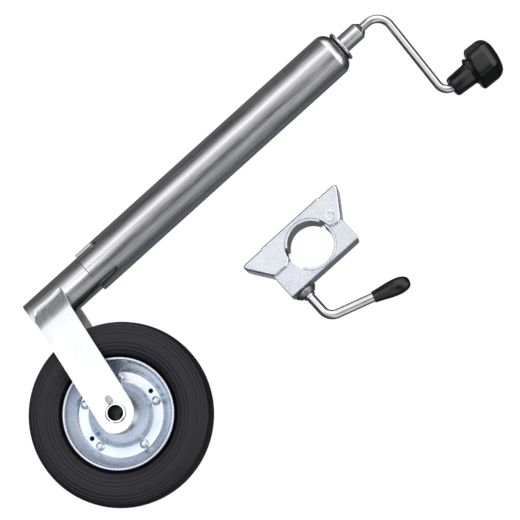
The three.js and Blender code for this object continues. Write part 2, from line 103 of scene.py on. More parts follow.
# the wheel and its axle, about that centre
AXLE_BORE = 7.8
TYRE_RADIUS = 96.5
TYRE_WALL = (65.2, 93.4)
TYRE_CREST_RADIUS = 77.5
TYRE_CREST_DEPTH = 24.9
TYRE_RIBS = (67, 70.6, 74.2, 83.5, 87.2, 90.2)
RIM_THICKNESS = 1.8
RIVET_COUNT = 5
RIVET_CIRCLE = 39.3
FIRST_RIVET = 51.3
VENT_RADIUS = 2.6
VENT_ANGLES = (-3.5, 177.5)

# the clamp, about its bore
CLAMP_DEPTH = 40
JAW_FACES = (3.6, 36.4)
PLATE = 3
BORE_RADIUS = 24.2
SADDLE_RADIUS = 27
PLATE_BORE_RADIUS = 27.2
PIVOT = (35.1, 8)
SCREW_X = -36.6
SCREW_Z = 20
SCREW_RADIUS = 5
SCREW_HOLE_RADIUS = 8.4
SCREW_CORNER_Y = -67.4
SCREW_BEND = 13.5
ARM_ANGLE = math.radians(-17.8)
ARM_LENGTH = 84
GRIP_START = 50.5
GRIP_BARREL = 27
GRIP_RADIUS = 9


# ---------------------------------------------------------------- frames

def place(x, y, z):
    """A frame in millimetres whose origin is given in metres in the shared frame."""
    return Matrix.Translation((x, y, z)) @ Matrix.Scale(MM, 4)


def shift(x, y, z):
    return Matrix.Translation((x, y, z))


def rotation(degrees, axis="Z"):
    return Matrix.Rotation(math.radians(degrees), 4, axis)


def middle(node):
    """The centre of a CAD node's box, in metres."""
    low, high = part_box(node)
    return [(a + b) / 2 for a, b in zip(low, high)]


def joint_point(name):
    """Where the record puts a joint, in metres."""
    for joint in frame["record"]["behaviour"]["joints"]:
        if joint["name"] == name:
            return joint["pos_m"]
    raise KeyError(name)


tube_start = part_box("outer_tube")[0][0]
_, tube_y, tube_z = middle("outer_tube")
JACK = place(tube_start, tube_y, tube_z)
CRANK = JACK @ Matrix.Rotation(CRANK_DROP, 4, "X")
WHEEL = place(*middle("tyre"))
hinge = joint_point("jaw_swing")
CLAMP = place(hinge[0] - PIVOT[0] * MM, hinge[1] - PIVOT[1] * MM, 0)
SCREW = CLAMP @ shift(SCREW_X, 0, SCREW_Z)


def along_knob(distance):
    """A point on the end of the crank's rod, by its distance past the start of the knob."""
    run = KNOB_START - CRANK_FOOT[0] + distance
    return (
        CRANK_FOOT[0] + run * math.cos(KNOB_TILT),
        CRANK_FOOT[1] - run * math.sin(KNOB_TILT),
    )


KNOB = (
    CRANK
    @ shift(*along_knob(0), 0)
    @ Matrix.Rotation(-KNOB_TILT, 4, "Z")
    @ Matrix.Rotation(-CRANK_DROP, 4, "X")
)


# ---------------------------------------------------------------- shapes

def rounded(corners, steps=6, closed=True):
    """The corners (x, y) or (x, y, radius) as a line of points with those corners rounded."""
    points = []
    for i, corner in enumerate(corners):
        here = Vector(corner[:2])
        radius = corner[2] if len(corner) > 2 else 0
        is_end = not closed and i in (0, len(corners) - 1)
        if radius == 0 or is_end:
            points.append(here)
            continue
        back = Vector(corners[i - 1][:2]) - here
        on = Vector(corners[(i + 1) % len(corners)][:2]) - here
        setback = radius / math.tan(back.angle(on) / 2)
        # two roundings on one edge never meet
        setback = min(setback, 0.48 * back.length, 0.48 * on.length)
        start = here + back.normalized() * setback
        end = here + on.normalized() * setback
        for k in range(steps + 1):
            t = k / steps
            points.append((1 - t) ** 2 * start + 2 * t * (1 - t) * here + t * t * end)
    return points


def arc_points(centre, radius, start, end, count):
    """Points on a circle from one angle to another, in degrees."""
    points = []
    for k in range(count + 1):
        angle = math.radians(start + (end - start) * k / count)
        points.append(Vector((centre[0] + radius * math.cos(angle),
                              centre[1] + radius * math.sin(angle))))
    return points


def turned(profile, axis="X", segments=96):
    """A closed profile of (along, radius) points, turned about an axis."""
    bm = bmesh.new()
    rings = []
    for s in range(segments):
        angle = 2 * math.pi * s / segments
        c, d = math.cos(angle), math.sin(angle)
        ring = []
        for along, radius in profile:
            radius = max(radius, 0)
            spot = {
                "X": (along, radius * c, radius * d),
                "Y": (radius * c, along, radius * d),
                "Z": (radius * c, radius * d, along),
            }[axis]
            ring.append(bm.verts.new(spot))
        rings.append(ring)
    count = len(profile)
    for s in range(segments):
        here, after = rings[s], rings[(s + 1) % segments]
        for i in range(count):
            j = (i + 1) % count
            if profile[i][1] <= 0 and profile[j][1] <= 0:
                continue
            bm.faces.new((here[i], here[j], after[j], after[i]))
    bmesh.ops.remove_doubles(bm, verts=bm.verts, dist=1e-5)
    bmesh.ops.recalc_face_normals(bm, faces=bm.faces)
    return bm


def extruded(outline, low, high):
    """A flat outline of (x, y) points, given a height from low to high."""
    bm = bmesh.new()
    bottom = [bm.verts.new((x, y, low)) for x, y in outline]
    top = [bm.verts.new((x, y, high)) for x, y in outline]
    bm.faces.new(bottom)
    bm.faces.new(top)
    for i in range(len(outline)):
        j = (i + 1) % len(outline)
        bm.faces.new((bottom[i], bottom[j], top[j], top[i]))
    bmesh.ops.recalc_face_normals(bm, faces=bm.faces)
    return bm


def lofted(sections):
    """Rings of the same number of points, joined in order and closed at both ends."""
    bm = bmesh.new()
    rings = [[bm.verts.new(point) for point in section] for section in sections]
    for here, after in zip(rings, rings[1:]):
        for i in range(len(here)):
            j = (i + 1) % len(here)
            bm.faces.new((here[i], here[j], after[j], after[i]))
    bm.faces.new(rings[0])
    bm.faces.new(rings[-1])
    bmesh.ops.recalc_face_normals(bm, faces=bm.faces)
    return bm


def bent_path(corners, radii, step=2.0):
    """Points in the XY plane through straight runs with a round bend at each inner corner."""
    points = [Vector(corners[0])]
    for i, radius in enumerate(radii, start=1):
        here = Vector(corners[i])
        back = (Vector(corners[i - 1]) - here).normalized()
        on = (Vector(corners[i + 1]) - here).normalized()
        half = back.angle(on) / 2
        start = here + back * radius / math.tan(half)
        end = here + on * radius / math.tan(half)
        centre = here + (back + on).normalized() * radius / math.sin(half)
        outwards = (start - centre + end - centre).normalized()
        sideways = Vector((-outwards.y, outwards.x))
        if sideways.dot(end - centre) < 0:
            sideways = -sideways
        bend = math.pi - 2 * half
        count = max(6, int(bend * radius / step * 1.6))
        points += straight(points[-1], start, step)
        for k in range(1, count):
            angle = -bend / 2 + bend * (k / count)
            way = outwards * math.cos(angle) + sideways * math.sin(angle)
            points.append(centre + way * radius)
        points.append(end)
    points += straight(points[-1], Vector(corners[-1]), step)
    return points


def straight(start, end, step):
    """Points from start, which is left out, to end, about three steps apart."""
    count = max(1, int((end - start).length / step / 3))
    return [start.lerp(end, k / count) for k in range(1, count + 1)]


def swept(path, radius_at, sides=40):
    """A round section carried along a path in the XY plane; radius_at takes 0 to 1."""
    lengths = [0.0]
    for a, b in zip(path, path[1:]):
        lengths.append(lengths[-1] + (b - a).length)
    sections = []
    for i, point in enumerate(path):
        before = path[max(i - 1, 0)]
        after = path[min(i + 1, len(path) - 1)]
        forward = (after - before).normalized()
        side = Vector((-forward.y, forward.x))
        radius = radius_at(lengths[i] / lengths[-1])
        ring = []
        for s in range(sides):
            angle = 2 * math.pi * s / sides
            across = side * radius * math.cos(angle)
            ring.append((point.x + across.x, point.y + across.y, radius * math.sin(angle)))
        sections.append(ring)
    return lofted(sections)


def both_sides(half):
    """Corners on one side of the middle, and then their mirror images in reverse order."""
    return [*half, *((-along, *rest) for along, *rest in reversed(half))]


def sheet(profile, thickness):
    """The closed profile of a sheet, from an open profile of its front and its thickness."""
    back = []
    for i, point in enumerate(profile):
        before = profile[max(i - 1, 0)]
        after = profile[min(i + 1, len(profile) - 1)]
        forward = (after - before).normalized()
        back.append(point + thickness * Vector((-forward.y, forward.x)))
    return list(profile) + back[::-1]


# ---------------------------------------------------------------- pieces

def piece(name, bm, where, body, nodes, slot, material, bevel=0.0, angle=35, flat=False):
    """Puts a shape in place, hangs it on the empty of the body it rides on and hides the CAD parts
    it stands for.
    """
    mesh = bpy.data.meshes.new(name)
    bm.to_mesh(mesh)
    bm.free()
    mesh.transform(where)
    mesh.shade_smooth()
    mesh.set_sharp_from_angle(angle=math.radians(angle))
    mesh.materials.append(material)
    obj = bpy.data.objects.new(name, mesh)
    scene.collection.objects.link(obj)
    if bevel:
        edge = obj.modifiers.new("worn_edges", "BEVEL")
        edge.width = bevel * MM
        edge.segments = 3
        edge.limit_method = "ANGLE"
        edge.angle_limit = math.radians(angle)
    if flat:
        even = obj.modifiers.new("flat_faces", "WEIGHTED_NORMAL")
        even.weight = 100
        even.keep_sharp = True
    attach(obj, body)
    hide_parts(*nodes)
    return obj


def near_and_far(name, bm, where, body, node, slot, material, **looks):
    """Two pieces: the shape, for the near side, and its mirror image for the far side."""
    shapes = {"near": bm, "far": mirrored(bm)}
    for side, shape in shapes.items():
        piece(f"{name}_{side}", shape, where, body, [f"{node}_{side}"], slot, material, **looks)


def paint(obj, where, material, is_covered):
    """Gives a second material to the faces whose centre, in the piece's frame, is covered."""
    obj.data.materials.append(material)
    to_frame = where.inverted()
    for face in obj.data.polygons:
        if is_covered(to_frame @ face.center):
            face.material_index = 1


def boolean(base, others, operation):
    """One shape joined with, or cut by, others. All are bmeshes in the same frame."""
    def as_object(bm):
        mesh = bpy.data.meshes.new("shape")
        bm.to_mesh(mesh)
        bm.free()
        obj = bpy.data.objects.new("shape", mesh)
        scene.collection.objects.link(obj)
        return obj

    main = as_object(base)
    helpers = [as_object(other) for other in others]
    for helper in helpers:
        modifier = main.modifiers.new("shape", "BOOLEAN")
        modifier.operation = operation
        modifier.solver = "EXACT"
        modifier.object = helper
    bpy.context.view_layer.update()
    result = main.evaluated_get(bpy.context.evaluated_depsgraph_get())
    bm = bmesh.new()
    bm.from_mesh(result.to_mesh())
    for obj in [main, *helpers]:
        mesh = obj.data
        bpy.data.objects.remove(obj)
        bpy.data.meshes.remove(mesh)
    bmesh.ops.remove_doubles(bm, verts=bm.verts, dist=1e-4)
    return bm


def cut(base, *others):
    return boolean(base, others, "DIFFERENCE")


def join(base, *others):
    return boolean(base, others, "UNION")


def mirrored(bm):
    """A copy of the shape on the other side of z = 0."""
    copy = bm.copy()
    bmesh.ops.scale(copy, vec=(1, 1, -1), verts=copy.verts)
    bmesh.ops.reverse_faces(copy, faces=copy.faces)
    return copy


def moved(bm, matrix):
    """Moves the shape itself, and hands it back."""
    bmesh.ops.transform(bm, matrix=matrix, verts=bm.verts)
    return bm


# ---------------------------------------------------------------- materials

def new_material(name):
    """A material, its nodes and links, and its shader."""
    material = bpy.data.materials.new(name)
    material.use_nodes = True
    nodes, links = material.node_tree.nodes, material.node_tree.links
    return material, nodes, links, nodes["Principled BSDF"]


def noise_node(nodes, links, scale, stretch=(1, 1, 1), detail=4.0, roughness=0.55):
    """Noise on the object's own coordinates, in metres, stretched along an axis if asked."""
    where = nodes.new("ShaderNodeTexCoord")
    mapping = nodes.new("ShaderNodeMapping")
    mapping.inputs["Scale"].default_value = stretch
    texture = nodes.new("ShaderNodeTexNoise")
    texture.inputs["Scale"].default_value = scale
    texture.inputs["Detail"].default_value = detail
    texture.inputs["Roughness"].default_value = roughness
    links.new(where.outputs["Object"], mapping.inputs["Vector"])
    links.new(mapping.outputs["Vector"], texture.inputs["Vector"])
    return texture


def spread(nodes, links, source, low, high, from_low=0.3, from_high=0.7):
    """Maps a value, a noise unless its own limits are given, to the range low to high."""
    node = nodes.new("ShaderNodeMapRange")
    node.inputs["From Min"].default_value = from_low
    node.inputs["From Max"].default_value = from_high
    node.inputs["To Min"].default_value = low
    node.inputs["To Max"].default_value = high
    links.new(source, node.inputs["Value"])
    return node.outputs["Result"]


def ramp(nodes, links, source, stops):
    """Maps a value from 0 to 1 to colours, given as (position, colour) stops."""
    node = nodes.new("ShaderNodeValToRGB")
    elements = node.color_ramp.elements
    elements[0].position, elements[0].color = stops[0][0], (*stops[0][1], 1)
    elements[1].position, elements[1].color = stops[-1][0], (*stops[-1][1], 1)
    for position, colour in stops[1:-1]:
        element = elements.new(position)
        element.color = (*colour, 1)
    links.new(source, node.inputs["Fac"])
    return node.outputs["Color"]


def mixed(nodes, links, factor, first, second, blend="MIX"):
    """Two colours mixed by a number or by another node's output."""
    node = nodes.new("ShaderNodeMix")
    node.data_type = "RGBA"
    node.blend_type = blend
    if isinstance(factor, float):
        node.inputs["Factor"].default_value = factor
    else:
        links.new(factor, node.inputs["Factor"])
    # inputs 6 and 7 and output 2 are the node's colours
    links.new(first, node.inputs[6])
    links.new(second, node.inputs[7])
    return node.outputs[2]


def bump(nodes, links, source, shader, strength, distance):
    """Relief from a value, no deeper than the distance in metres."""
    node = nodes.new("ShaderNodeBump")
    node.inputs["Strength"].default_value = strength
    node.inputs["Distance"].default_value = distance
    links.new(source, node.inputs["Height"])
    links.new(node.outputs["Normal"], shader.inputs["Normal"])


def zinc(name, tints, rough, stretch=(1, 1, 1), metallic=1.0, grain=0.25, mottle=0.14):
    """Zinc-plated steel: soft patches of tint, and a fine grain that may be drawn out."""
    material, nodes, links, shader = new_material(name)
    patches = noise_node(nodes, links, scale=55, stretch=stretch, detail=3)
    streaks = noise_node(nodes, links, scale=420, stretch=stretch, detail=5, roughness=0.65)
    colour = ramp(nodes, links, patches.outputs["Fac"], [
        (0.3, tints[0]), (0.5, tints[1]), (0.7, tints[2]),
    ])
    shade = ramp(nodes, links, streaks.outputs["Fac"], [
        (0.3, (1 - mottle,) * 3), (0.62, (1, 1, 1)),
    ])
    links.new(mixed(nodes, links, 1.0, colour, shade, "MULTIPLY"), shader.inputs["Base Color"])
    shader.inputs["Metallic"].default_value = metallic
    roughness = spread(nodes, links, streaks.outputs["Fac"],
                       rough - 0.35 * mottle, rough + 0.65 * mottle)
    links.new(roughness, shader.inputs["Roughness"])
    bump(nodes, links, streaks.outputs["Fac"], shader, strength=grain, distance=0.00008)
    return material


def plain_steel(name, colour, rough):
    """Dark oiled or phosphated steel, also used as painted shade in the tube's slots, the axle's
    bore and the axle's lock tabs.
    """
    material, nodes, links, shader = new_material(name)
    patches = noise_node(nodes, links, scale=160, detail=6)
    dark = tuple(0.6 * c for c in colour)
    links.new(
        ramp(nodes, links, patches.outputs["Fac"], [(0.35, dark), (0.65, colour)]),
        shader.inputs["Base Color"],
    )
    shader.inputs["Metallic"].default_value = 1.0
    links.new(
        spread(nodes, links, patches.outputs["Fac"], rough - 0.08, rough + 0.1),
        shader.inputs["Roughness"],
    )
    bump(nodes, links, patches.outputs["Fac"], shader, strength=0.2, distance=0.0001)
    return material


def moulded(name, colour, rough, grain_scale, grain, coat=0.0):
    """Moulded plastic or rubber with a fine grain and slightly uneven gloss."""
    material, nodes, links, shader = new_material(name)
    large = noise_node(nodes, links, scale=70, detail=3)
    fine = noise_node(nodes, links, scale=grain_scale, detail=3)
    lighter = tuple(min(1, 1.45 * c + 0.001) for c in colour)
    links.new(
        ramp(nodes, links, large.outputs["Fac"], [(0.35, colour), (0.7, lighter)]),
        shader.inputs["Base Color"],
    )
    links.new(
        spread(nodes, links, large.outputs["Fac"], rough - 0.05, rough + 0.07),
        shader.inputs["Roughness"],
    )
    shader.inputs["Specular IOR Level"].default_value = 0.5 - 0.3 * coat
    shader.inputs["Coat Weight"].default_value = coat
    shader.inputs["Coat Roughness"].default_value = 0.09
    bump(nodes, links, fine.outputs["Fac"], shader, strength=grain, distance=0.0002)
    return material


TUBE_ZINC = zinc("tube_zinc", [(0.7, 0.7, 0.71), (0.76, 0.76, 0.77), (0.82, 0.82, 0.83)], 0.19,
                 stretch=(0.06, 1, 1))
LEG_ZINC = zinc("leg_zinc", [(0.8, 0.83, 0.88), (0.87, 0.88, 0.9), (0.91, 0.91, 0.91)], 0.3,
                grain=0.1)
RIM_ZINC = zinc("rim_zinc", [(0.61, 0.68, 0.77), (0.68, 0.74, 0.82), (0.72, 0.73, 0.78)], 0.27,
                grain=0.005, mottle=0.025)
CLAMP_ZINC = zinc("clamp_zinc", [(0.78, 0.84, 0.94), (0.88, 0.91, 0.97), (0.95, 0.96, 0.98)], 0.3,
                  grain=0.1, mottle=0.09)
ROD_ZINC = zinc("rod_zinc", [(0.78, 0.78, 0.79), (0.84, 0.84, 0.85), (0.9, 0.9, 0.91)], 0.2,
                grain=0.01, mottle=0.05)
# Zinc on the weld bead, made near white and only partly metallic: partly painted highlight where
# its edge catches the light.
WELD_ZINC_AND_HIGHLIGHT = zinc("weld_zinc_and_highlight", [(0.9, 0.91, 0.93), (0.95, 0.95, 0.96), (1, 1, 1)], 0.42,
                 metallic=0.35, grain=0.3)
# Dark steel, and also the painted shade on the tube's low slot walls and in the axle's bore.
DARK_STEEL_AND_SHADE = plain_steel("dark_steel_and_shade", (0.16, 0.16, 0.17), 0.38)
# Also the painted shade on the axle's lock tabs.
BOSS_STEEL = plain_steel("boss_steel", (0.5, 0.51, 0.54), 0.3)
BLACK_PLASTIC = moulded("black_plastic", (0.0015, 0.0015, 0.002), 0.14, 2500, 0.04, coat=1.0)
GRIP_PLASTIC = moulded("grip_plastic", (0.002, 0.002, 0.003), 0.24, 2500, 0.04, coat=0.35)
TYRE_RUBBER = moulded("tyre_rubber", (0.004, 0.004, 0.0075), 0.5, 1500, 0.25)
SEAL_RUBBER = moulded("seal_rubber", (0.005, 0.005, 0.005), 0.7, 1500, 0.2)
NYLON = moulded("nylon", (0.02, 0.02, 0.024), 0.5, 900, 0.15)

SLOT_MATERIALS = {
    "bright_zinc": TUBE_ZINC,
    "satin_zinc": CLAMP_ZINC,
    "blue_zinc": RIM_ZINC,
    "black_plastic": BLACK_PLASTIC,
    "nylon": NYLON,
    "tyre_rubber": TYRE_RUBBER,
    "seal_rubber": SEAL_RUBBER,
    "oiled_steel": DARK_STEEL_AND_SHADE,
}
for subpart in frame["record"]["subparts"]:
    materials = frame["nodes"][subpart["node"]].data.materials
    materials.clear()
    materials.append(SLOT_MATERIALS[subpart["material_slot"]])


# ---------------------------------------------------------------- tubes

def make_outer_tube():
    """A tube with four slots at its lower end and its top rolled inwards."""
    profile = rounded([
        (0, TUBE_RADIUS - 0.8),
        (0.8, TUBE_RADIUS),
        *arc_points((TUBE_LENGTH - 11.5, TUBE_RADIUS - 12.6), 12.6, 90, 26, 16),
        (TUBE_LENGTH, 16.6, 0.5),
        (TUBE_LENGTH, 13.9, 0.3),
        (TUBE_LENGTH - 4.6, 18.4, 3),
        (TUBE_LENGTH - 13, TUBE_BORE, 5),
        (0, TUBE_BORE, 0.4),
    ], steps=8)
    slots = []
    for k in range(SLOT_COUNT):
        outline = [
            Vector((-3, -SLOT_RADIUS)),
            *arc_points((SLOT_CENTRE, 0), SLOT_RADIUS, -90, 90, 16),
            Vector((-3, SLOT_RADIUS)),
        ]
        slot = extruded(outline, INNER_TUBE_RADIUS - 4, TUBE_RADIUS + 4)
        slots.append(moved(slot, rotation(45 + 360 * k / SLOT_COUNT, "X")))
    shape = cut(turned(profile, segments=128), *slots)
    tube = piece("tube_outer", shape, JACK, "housing", ["outer_tube"], "bright_zinc", TUBE_ZINC,
                 bevel=0.25)

    def is_low_slot_wall(spot):
        past_the_end = 0.5 < spot.x < SLOT_CENTRE + SLOT_RADIUS + 0.5
        in_the_wall = TUBE_BORE + 0.2 < math.hypot(spot.y, spot.z) < TUBE_RADIUS - 0.2
        return past_the_end and in_the_wall and spot.y < 0

    # the slots' walls on the low side are painted dark: painted shade inside the openings
    paint(tube, JACK, DARK_STEEL_AND_SHADE, is_low_slot_wall)


def make_inner_tube():
    low, high = INNER_TUBE_ENDS
    profile = rounded([
        (low, INNER_TUBE_RADIUS, 0.5),
        (high, INNER_TUBE_RADIUS, 0.5),
        (high, INNER_TUBE_BORE, 0.5),
        (low, INNER_TUBE_BORE, 0.5),
    ])
    piece("tube_inner", turned(profile, segments=128), JACK, "leg", ["inner_tube"],
          "bright_zinc", TUBE_ZINC)


def make_crank():
    """A flange against the tube's top, a sleeve that grips the rod, and the bent rod."""
    flange_end = HUB_START + 3.1
    flange = rounded([
        (HUB_START, HUB_RADIUS + 0.3, 0.2),
        (HUB_START, 17.2, 0.9),
        (flange_end, 17.2, 1.2),
        (flange_end, HUB_RADIUS + 0.3, 0.2),
    ])
    piece("crank_flange", turned(flange), CRANK, "crank", ["crank_collar"], "bright_zinc",
          ROD_ZINC)
    rod_hole = CRANK_ROD_RADIUS + 0.3
    sleeve = rounded([
        (HUB_START, 8.6),
        (HUB_START, HUB_RADIUS),
        (379, HUB_RADIUS, 1.2),
        (384.2, 5.4, 0.8),
        (384.2, rod_hole, 0.2),
        (369.6, rod_hole),
        (369.6, 8.6),
    ])
    piece("crank_sleeve", turned(sleeve, segments=64), CRANK, "crank", ["crank_hub"],
          "bright_zinc", ROD_ZINC)
    corners = [(370.2, 0), (CRANK_ELBOW_X, 0), CRANK_FOOT, along_knob(41)]
    rod = swept(bent_path(corners, CRANK_BENDS), lambda share: CRANK_ROD_RADIUS)
    piece("crank_arm", rod, CRANK, "crank", ["crank_rod"], "bright_zinc", ROD_ZINC)


def hexagon_radius(angle, apothem, sharpness):
    """The radius of a soft-cornered hexagon with a flat at angle 0."""
    total = 0
    for k in (-1, 0, 1):
        total += abs(math.cos(angle + k * math.pi / 3)) ** sharpness
    return apothem / total ** (1 / sharpness)


def make_knob():
    """A round stem with a pip on one side, and a slanted six-sided head with a domed end."""
    sections = []

    def add(x, radius, hexness, slant=0.0, pip=0.0):
        """One ring. Hexness runs from 0, round, to 1, six-sided.

        The slant tips the ring along y, and the pip is how far it bulges on its +Y side.
        """
        ring = []
        for s in range(KNOB_SIDES):
            angle = 2 * math.pi * s / KNOB_SIDES
            six = hexagon_radius(angle, radius, 14)
            reach = radius + hexness * (six - radius) + pip * max(0, -math.sin(angle)) ** 2
            # angle 0 is up, where the head has a flat
            y, z = -reach * math.sin(angle), reach * math.cos(angle)
            ring.append((x + slant * y, y, z))
        sections.append(ring)

    stem_end = 23.4
    stem = rounded([(5, 5.1), (0.8, 6.6, 1), (0.3, 9.6, 1.5), (2.6, 11.3, 2), (stem_end, 12.3)],
                   steps=5, closed=False)
    for x, radius in stem:
        add(x, radius, hexness=0)
    for x, height in ((24.6, 1.2), (25.1, 2.8), (25.9, 3.4), (26.7, 2.6), (27.2, 1.4)):
        add(x, 12.5 + 0.5 * (x - 24), 0, slant=HEAD_SLANT * (x - stem_end) / 5, pip=height)
    back = rounded([(28.2, 14.6), (29, 20, 1.2), (31.6, HEAD_RADIUS, 2), (36, HEAD_RADIUS)],
                   steps=4, closed=False)
    for x, radius in back:
        add(x, radius, min(1, (x - 28.4) / 2), HEAD_SLANT)
    for x in (39, 43, 46):
        add(x, HEAD_RADIUS, 1, HEAD_SLANT * (1 - 0.04 * (x - 36)))
    steps = 16
    for k in range(1, steps + 1):
        turn = math.pi / 2 * k / steps
        x = DOME_START + DOME_HEIGHT * math.sin(turn) ** 1.15
        radius = HEAD_RADIUS * max(math.cos(turn), 0.02) ** 0.42
        add(x, radius, 1 - 0.5 * (k / steps) ** 2, 0.6 * HEAD_SLANT)
    tip = DOME_START + DOME_HEIGHT + 0.1
    sections[-1] = [(tip, 0.2 * y, 0.2 * z) for _, y, z in sections[-1]]
    piece("knob_body", lofted(sections), KNOB, "knob", ["knob_grip"], "black_plastic",
          BLACK_PLASTIC, angle=50)


# ---------------------------------------------------------------- fork

def leg_centre(y):
    """x of the leg's centre line at a height along it."""
    return LEG_TOP_X + (y - LEG_BEND_Y) * math.tan(LEG_LEAN)


def leg_top(across):
    """The sheared top edge curls up at one end and is rounded at the other."""
    edge = LEG_TOP_Y - 1.2 + 0.35 * math.sin(4.5 * (across + 0.9))
    edge += 1.7 * max(0, (across - 0.62) / 0.38) ** 1.6
    corner = max(0, (-across - 0.74) / 0.26)
    return edge - 6 * corner ** 2


def leg_depth(y):
    """z of the leg's outer face: flat down to the axle, bent in towards the tube above."""
    past = y - LEG_BEND_Y
    eased = 0.5 * (past + math.hypot(past, LEG_BEND_SOFTNESS))
    return LEG_OUTER - math.tan(LEG_RISE) * eased


def leg_point(across, share):
    """A point of the outer face: across from -1 to 1, share from the top edge to the end."""
    half = LEG_WIDTH / 2
    top = leg_top(across)
    end = WHEEL_Y - half * math.sqrt(max(0, 1 - (0.999 * across) ** 2))
    y = top + (end - top) * share
    past_axle = y - WHEEL_Y
    centre = leg_centre(y)
    if past_axle < 0:
        centre = WHEEL_X + past_axle * math.tan(LEG_LEAN) * (1 + past_axle / (2 * half))
    return Vector((centre + across * half / math.cos(LEG_LEAN), y, leg_depth(y)))


def make_leg():
    """A grid over the leg's outer face, thickened inwards along the plate's normals."""
    columns, rows = 28, 120
    bm = bmesh.new()
    outer, inner = [], []
    for r in range(rows + 1):
        outer_row, inner_row = [], []
        for c in range(columns + 1):
            point = leg_point(-1 + 2 * c / columns, r / rows)
            fall = (leg_depth(point.y + 0.1) - leg_depth(point.y - 0.1)) / 0.2
            normal = Vector((0, -fall, 1)).normalized()
            outer_row.append(bm.verts.new(point))
            inner_row.append(bm.verts.new(point - LEG_THICKNESS * normal))
        outer.append(outer_row)
        inner.append(inner_row)
    for grid in (outer, inner):
        for above, below in zip(grid, grid[1:]):
            for c in range(columns):
                bm.faces.new((above[c], above[c + 1], below[c + 1], below[c]))
    border = [(0, c) for c in range(columns)]
    border += [(r, columns) for r in range(rows)]
    border += [(rows, c) for c in range(columns, 0, -1)]
    border += [(r, 0) for r in range(rows, 0, -1)]
    for (r0, c0), (r1, c1) in zip(border, border[1:] + border[:1]):
        bm.faces.new((outer[r0][c0], outer[r1][c1], inner[r1][c1], inner[r0][c0]))
    bmesh.ops.recalc_face_normals(bm, faces=bm.faces)
    hole = turned([
        (10, 0),
        (10, LEG_HOLE_RADIUS),
        (33, LEG_HOLE_RADIUS),
        (33, LEG_RECESS_RADIUS),
        (50, LEG_RECESS_RADIUS),
        (50, 0),
    ], "Z", 64)
    # a little off the axle, so that a gap shows on one side
    moved(hole, shift(WHEEL_X + 0.4, WHEEL_Y - 0.7, 0))
    tube_reach = INNER_TUBE_RADIUS + 0.2
    tube = turned([(-120, 0), (-120, tube_reach), (0, tube_reach), (0, 0)], "X", 128)
    return cut(bm, hole, tube)


def make_weld():
    """A rippled weld bead along the leg's top edge, thinner towards one end."""
    count = 80
    path, radii = [], []
    for k in range(count + 1):
        across = -0.99 + 1.93 * k / count
        x = leg_centre(LEG_TOP_Y) + across * LEG_WIDTH / 2
        path.append(Vector((x, leg_top(across) + 1.3)))
        ripple = 0.15 * math.sin(k * 1.5)
        radii.append(WELD_RADIUS + ripple - 1.3 * max(0, across - 0.8) / 0.14)
    bead = swept(path, lambda share: radii[min(count, round(share * count))], sides=16)
    # lays the bead on the tube
    for vert in bead.verts:
        vert.co.z += math.sqrt((INNER_TUBE_RADIUS + 1.4) ** 2 - min(vert.co.y, 12) ** 2)
    return bead


def make_fork():
    near_and_far("leg", make_leg(), JACK, "leg", "fork_leg", "satin_zinc", LEG_ZINC,
                 bevel=1.1, angle=50, flat=True)
    near_and_far("bead", make_weld(), JACK, "leg", "weld", "satin_zinc", WELD_ZINC_AND_HIGHLIGHT)


def make_axle():
    """The hollow axle, swaged out over both legs, with its staking marks and lock tabs."""
    profile = both_sides([
        (34.8, 9),
        (34.8, 10.4, 0.3),
        (35.3, 10.4, 0.4),
        (35.7, 9.4, 0.4),
        (35.7, 8.2, 0.4),
        (34.6, AXLE_BORE),
    ])
    marks = []
    for degrees in (35, 205):
        notch = extruded([(9.2, -1.4), (12, -2), (12, 2), (9.2, 1.4)], 35, 37)
        marks.append(moved(notch, rotation(degrees)))
    shape = cut(turned(rounded(profile, steps=4), "Z"), *marks)
    axle = piece("axle_tube", shape, WHEEL, "leg", ["axle"], "bright_zinc", ROD_ZINC)

    def is_bore(spot):
        return math.hypot(spot.x, spot.y) < AXLE_BORE + 0.2 and abs(spot.z) < 34.7

    # the bore is painted dark: painted shade down the hollow axle
    paint(axle, WHEEL, DARK_STEEL_AND_SHADE, is_bore)
    wide, tall = 3.3, 4.2
    outline = rounded([(-wide, -tall, 1.4), (wide, -tall, 1.4), (wide, tall, 2.8),
                       (-wide, tall, 2.8)])
    tab = extruded(outline, 34.55, 35.6)
    # the tab slopes down into the leg
    for vert in tab.verts:
        vert.co.z -= 0.09 * (vert.co.y + tall) + 0.06 * (wide - vert.co.x)
    moved(tab, shift(3.7, 15.1, 0))
    # the tabs are painted with the darker boss steel instead of satin zinc: painted shade
    near_and_far("tab", tab, WHEEL, "leg", "axle_lock", "satin_zinc", BOSS_STEEL, bevel=0.6)


# ---------------------------------------------------------------- wheel

